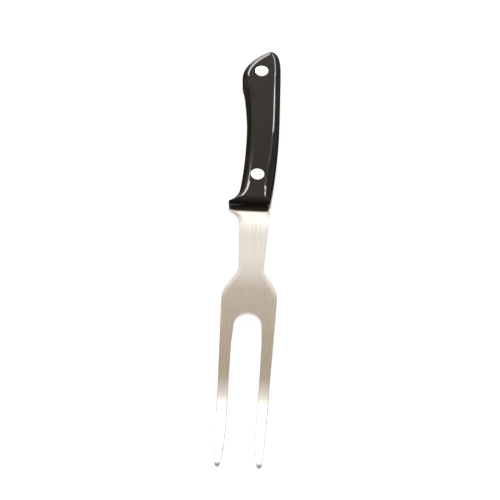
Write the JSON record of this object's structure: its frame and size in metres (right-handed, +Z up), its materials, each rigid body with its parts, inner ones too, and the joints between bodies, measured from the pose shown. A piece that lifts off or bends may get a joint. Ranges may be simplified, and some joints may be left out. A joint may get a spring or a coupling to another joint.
{
  "type": "carving fork",
  "caption": "Carving fork stamped from brushed steel: long swept tines, a full tang, and black riveted handle scales with a finger guard.",
  "frame": {"origin": "on the table, below the middle of the fork's length, on the axis between the tines", "axes": "+Y from the tine tips to the butt of the handle, +X to the spine side of the handle, +Z up from the table"},
  "size_m": [0.033, 0.293, 0.016],
  "materials": {
    "blade_steel": "lengthwise brushed stainless steel",
    "handle_plastic": "polished black moulded plastic",
    "rivet_steel": "polished steel"
  },
  "bodies": {
    "root": {"fork": "blade_steel", "front_scale": "handle_plastic", "back_scale": "handle_plastic", "neck_rivet_tube": "rivet_steel", "neck_rivet_pin": "rivet_steel", "butt_rivet_tube": "rivet_steel", "butt_rivet_pin": "rivet_steel"}
  },
  "joints": []
}
